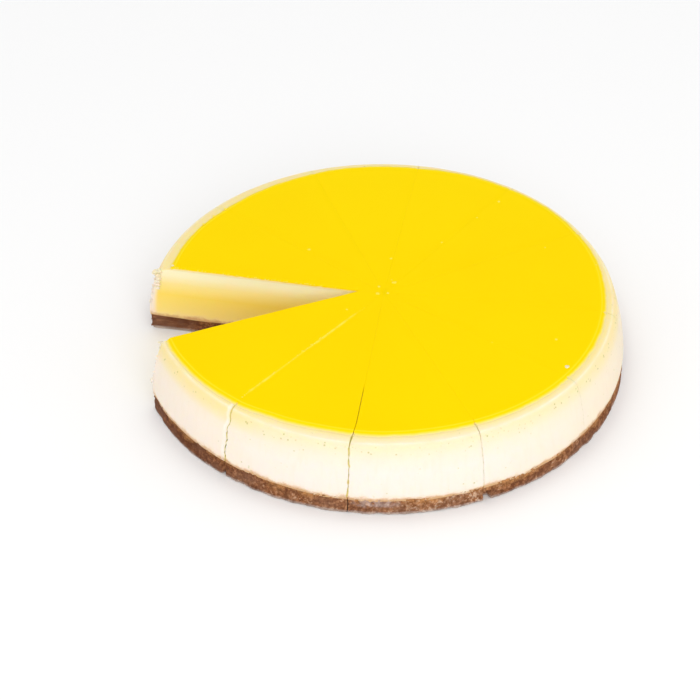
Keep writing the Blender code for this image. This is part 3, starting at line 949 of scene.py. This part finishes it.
def glaze_material():
    """Yellow glaze: even and strong, with a painted highlight as a paler line before it thins out
    at its edge.
    """
    material, tree, shader = food_material(
        "yellow_glaze", 0.3, Specular_IOR_Level=0.02, Specular_Tint=(1.0, 0.8, 0.0, 1.0),
        Subsurface_Weight=0.1, Subsurface_Scale=0.001, Subsurface_Radius=(1.0, 0.7, 0.05),
    )
    grain = add_grain(tree, 350.0, 14.0)
    thin = mark_of(tree, "thin_edge")
    tone = spread_of(tree, grain["Tone"], 0.35, 0.65)
    yellow = mix(tree, tone, DEEP_YELLOW, BRIGHT_YELLOW)
    # Painted highlight: the paler stop near the start of the edge is the shine along its rounded
    # rim
    edge = ramp(
        tree, thin,
        (0.00, (0.970, 0.690, 0.000)), (0.22, (0.975, 0.780, 0.030)),
        (0.42, (0.955, 0.690, 0.000)), (0.64, (0.940, 0.700, 0.010)),
        (0.82, (0.945, 0.740, 0.120)), (1.00, (0.945, 0.760, 0.330)),
    )
    colour = mix(tree, spread_of(tree, thin, 0.0, 0.3), yellow, edge)
    smeared = spread_of(tree, mark_of(tree, "smeared"), 0.1, 0.8)
    colour = mix(tree, smeared, colour, DRAGGED_YELLOW)
    creamy = spread_of(tree, mark_of(tree, "creamy"), 0.3, 0.9, 0.0, 0.85)
    colour = mix(tree, creamy, colour, CREAMY_YELLOW)
    finish_material(tree, shader, colour, grain["Height"], 0.06)
    return material


yellow_glaze = glaze_material()
GLAZE_LEVELS = 3
GLAZE_STEPS = 110
GLAZE_PULL = 0.75
GLAZE_SPACING = 2.2
GLAZE_MARKS = ("thin_edge", "smeared", "creamy")
RIM_COLUMNS = [1 - GLAZE_EDGE_WIDTH / GLAZE_RADIUS * (1 - i / 12) for i in range(13)]
for number in PORTIONS:
    columns = even_columns(number, GLAZE_SPACING, RIM_COLUMNS)
    glaze = build_layer(
        f"glaze_{number:02d}", number, glaze_section, columns,
        GLAZE_LEVELS, GLAZE_STEPS, GLAZE_PULL, GLAZE_MARKS,
    )
    glaze.data.materials.append(yellow_glaze)
    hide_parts(f"slice_{number:02d}_glaze")


# Crumbs
# Bits that the knife and the tin have torn off: glazed crumbs on the top and along the cuts, white
# flakes of cream at the opening's torn corners, and brown biscuit crumbs stuck to the base.

# Single crumbs on the top: direction in degrees, distance from the cut centre, and size
GLAZED_CRUMBS = [
    (136.7, 51.8, 1.6), (82.7, 28.1, 1.3), (56.3, 9.6, 1.8), (54.5, 50.9, 1.2),
    (52.6, 79.3, 1.0), (52.1, 97.8, 1.3), (335.6, 90.4, 1.5), (322.3, 64.9, 1.0),
    (24.5, 89.6, 1.0), (216.8, 23.1, 1.2), (119.1, 5.4, 1.6), (197.1, 3.3, 1.9),
    (61.5, 9.1, 1.3), (338.8, 1.8, 1.3), (70.0, 10.8, 0.8), (229.5, 61.0, 1.5),
    (229.4, 54.5, 1.3), (229.3, 48.2, 1.2), (139.0, 107.6, 1.6), (143.5, 108.2, 1.2),
    (148.0, 108.4, 1.5), (12.0, 108.6, 1.2), (33.0, 109.5, 1.0),
]
CREAM_CRUMBS = [(326.1, 103.9, 2.4), (168.2, 108.0, 1.5)]

# Flakes at the opening's torn corners: how far beyond the corner, how far above it, and size
TORN_CORNER = [
    (-6.5, 0.7, 1.8), (-5.0, 0.9, 2.6), (-3.2, 0.8, 2.4), (-1.2, 0.7, 3.2),
    (0.8, 0.6, 2.8), (1.9, 0.2, 1.8), (-0.1, -1.4, 3.2), (-0.5, -3.4, 3.0),
    (0.2, -5.0, 3.0), (-0.2, -7.2, 2.6), (0.0, -9.5, 2.2),
]
TORN_FOOT = [(0.1, 0.0, 2.2), (0.5, -0.9, 1.6), (-0.1, 1.3, 1.5)]
TORN_EDGE = [(0.0, 0.0, 2.2), (0.9, 0.3, 1.6), (1.6, 0.6, 1.0)]

# How many smaller ones lie along the smeared cut and the opening, down the opening's two corners
# and on the crust, and how far from the smeared cut they scatter
SMEAR_CRUMB_SPREAD = 0.35
SMEAR_CRUMB_COUNT = 50
OPENING_CRUMB_COUNT = 60
LAST_FLAKE_COUNT, FIRST_FLAKE_COUNT = 26, 20
BISCUIT_CRUMB_COUNT = 700
CRUMB_SEED = 12
draw = random.Random(CRUMB_SEED)


def add_crumb(bm, place, size, flatness, detail):
    """Add one rough lump, flattened and dented by its own noise."""
    turn = Matrix.Rotation(draw.uniform(0, 2 * pi), 4, "Z") @ Matrix.Scale(flatness, 4, (0, 0, 1))
    where = Matrix.Translation(place) @ turn
    made = bmesh.ops.create_icosphere(bm, subdivisions=detail, radius=size / 2, matrix=where)
    for vert in made["verts"]:
        dents = noise.noise(vert.co / (0.45 * size)) + 0.5 * noise.noise(vert.co / (0.2 * size))
        vert.co = place + (vert.co - place) * (1 + 0.4 * dents)
    return made["verts"]


def on_glaze(direction, reach):
    """A place on top of the glaze, by its direction and distance from the cut centre."""
    place = spot(radians(direction), reach)
    return Vector((place.x, place.y, GLAZE_TOP))


CRUMB_YELLOW = (0.975, 0.760, 0.020, 1.0)
PALE_CRUMB_YELLOW = (0.980, 0.830, 0.140, 1.0)


def glazed_crumb_material():
    """Crumbs of filling with a film of glaze on them."""
    material, tree, shader = food_material("glazed_crumb", 0.5, Specular_IOR_Level=0.04)
    grain = add_grain(tree, 1200.0, 300.0)
    tone = spread_of(tree, grain["Tone"], 0.35, 0.65)
    colour = mix(tree, tone, CRUMB_YELLOW, PALE_CRUMB_YELLOW)
    finish_material(tree, shader, colour, grain["Height"], 0.3)
    return material


glazed = bmesh.new()
for direction, reach, size in GLAZED_CRUMBS:
    add_crumb(glazed, on_glaze(direction, reach), size, 0.5 / size, 2)
for _ in range(SMEAR_CRUMB_COUNT):
    reach = 14 + 92 * draw.random() ** 0.8
    aside = draw.gauss(0.0, SMEAR_CRUMB_SPREAD)
    direction = CUTS[SMEAR_CUT].direction + degrees(aside / reach)
    add_crumb(glazed, on_glaze(direction, reach), draw.uniform(0.3, 0.8), 0.6, 1)
opening_cut = CUTS[-1]
for _ in range(OPENING_CRUMB_COUNT):
    reach = draw.uniform(22, 109)
    aside = opening_cut.miss - draw.uniform(0.0, 0.5)
    direction = opening_cut.direction + degrees(asin(aside / reach))
    add_crumb(glazed, on_glaze(direction, reach), draw.uniform(0.4, 1.0), 0.5, 1)
glazed_crumbs = finish_piece("glazed_crumbs", glazed, sharp_from=60)
glazed_crumbs.data.materials.append(glazed_crumb_material())

flakes = bmesh.new()
flake_marks = {mark: flakes.verts.layers.float.new(mark) for mark in ("above_crust", "film")}
for direction, reach, size in CREAM_CRUMBS:
    add_crumb(flakes, on_glaze(direction, reach), size, 0.55 / size, 2)
OPENING_CORNERS = [(LAST_PORTION, 1.0, LAST_FLAKE_COUNT), (FIRST_PORTION, 0.0, FIRST_FLAKE_COUNT)]
for number, share, count in OPENING_CORNERS:
    for _ in range(count):
        level = draw.uniform(0.25, 0.99)
        point = portion_point(number, 2.0, level, share, filling_section)[0]
        outwards = Vector((point.x, point.y, 0.0)).normalized()
        size = draw.uniform(0.5, 1.3)
        add_crumb(flakes, point + outwards * draw.uniform(-0.6, 0.3), size, 1.1, 1)
corner = portion_point(LAST_PORTION, 2.0, 0.96, 1.0, filling_section)[0]
for away, rise, size in TORN_CORNER:
    add_crumb(flakes, corner + Vector((-away, -0.2 * away, rise)), size, 0.75, 3)
corner = portion_point(FIRST_PORTION, 2.0, 0.28, 0.0, filling_section)[0]
for away, rise, size in TORN_FOOT:
    add_crumb(flakes, corner + Vector((-away, 0.4, rise)), size, 1.0, 2)
corner = portion_point(FIRST_PORTION, 1.8, 1.0, 0.0, filling_section)[0]
for away, rise, size in TORN_EDGE:
    add_crumb(flakes, corner + Vector((-away, 0.1, rise)), size, 0.6, 2)
for vert in flakes.verts:
    vert[flake_marks["above_crust"]] = CRUST_HEIGHT
    vert[flake_marks["film"]] = 0.1
cream_flakes = finish_piece("cream_flakes", flakes, sharp_from=180)
cream_flakes.data.materials.append(cream_cheese)

brown = bmesh.new()
brown_marks = [brown.verts.layers.float.new(mark) for mark in CRUST_MARKS]
for _ in range(BISCUIT_CRUMB_COUNT):
    number = draw.choice(PORTIONS)
    level = draw.random() ** 1.4
    size = draw.uniform(0.5, 1.5)
    point, _, marks = portion_point(number, 2.0, level, draw.random(), crust_section)
    outwards = Vector((point.x, point.y, 0.0)).normalized()
    room = OUTERMOST_RADIUS - 0.7 * size - Vector((point.x, point.y)).length
    point += outwards * min(0.1 * size, room)
    point.z = max(point.z, 0.66 * size)
    values = (marks[0] + draw.uniform(-0.2, 0.2), 0.1, marks[2], marks[3])
    for vert in add_crumb(brown, point, size, 0.85, 1):
        for mark, value in zip(brown_marks, values):
            vert[mark] = value
biscuit_crumbs = finish_piece("biscuit_crumbs", brown, sharp_from=60)
biscuit_crumbs.data.materials.append(biscuit)


# Floor, light and camera
# A plain pale floor under a large soft studio light, seen as the photographer saw the cake.

FLOOR_SIZE = 6.0
FLOOR_DROP = 0.0002
FLOOR_SHADE = 0.96
SURROUNDING_LIGHT = 0.91
floor_mesh = bmesh.new()
bmesh.ops.create_grid(floor_mesh, x_segments=1, y_segments=1, size=FLOOR_SIZE / 2)
bmesh.ops.translate(floor_mesh, vec=(0, 0, -FLOOR_DROP), verts=floor_mesh.verts)
floor_data = bpy.data.meshes.new("floor")
floor_mesh.to_mesh(floor_data)
floor_mesh.free()
floor = bpy.data.objects.new("floor", floor_data)
bpy.context.scene.collection.objects.link(floor)
floor_paint, _, floor_shader = food_material("pale_floor", 0.7)
floor_shader.inputs["Base Color"].default_value = (FLOOR_SHADE, FLOOR_SHADE, FLOOR_SHADE, 1.0)
floor_data.materials.append(floor_paint)

world = bpy.data.worlds.new("studio")
bpy.context.scene.world = world
world.use_nodes = True
background = world.node_tree.nodes["Background"]
background.inputs["Color"].default_value = (1.0, 1.0, 1.0, 1.0)
background.inputs["Strength"].default_value = SURROUNDING_LIGHT


def add_softbox(name, place, size, watts):
    """A square area light that faces the cake."""
    light = bpy.data.lights.new(name, "AREA")
    light.size = size
    light.energy = watts
    lamp = bpy.data.objects.new(name, light)
    lamp.location = place
    lamp.rotation_euler = (-Vector(place)).to_track_quat("-Z", "Y").to_euler()
    bpy.context.scene.collection.objects.link(lamp)


add_softbox("front_softbox", (0.20, -1.30, 0.95), 1.0, 7.2)

CAMERA_PLACE = (-0.01646, -0.98055, 0.79046)
CAMERA_DOWN = 38.796
CAMERA_LENS, CAMERA_SENSOR = 128.571, 36.0
camera = bpy.data.objects.new("camera", bpy.data.cameras.new("camera"))
camera.location = CAMERA_PLACE
camera.rotation_euler = (radians(90 - CAMERA_DOWN), 0.0, 0.0)
camera.data.lens = CAMERA_LENS
camera.data.sensor_width = CAMERA_SENSOR
bpy.context.scene.collection.objects.link(camera)
bpy.context.scene.camera = camera
bpy.context.scene.view_settings.view_transform = "Standard"
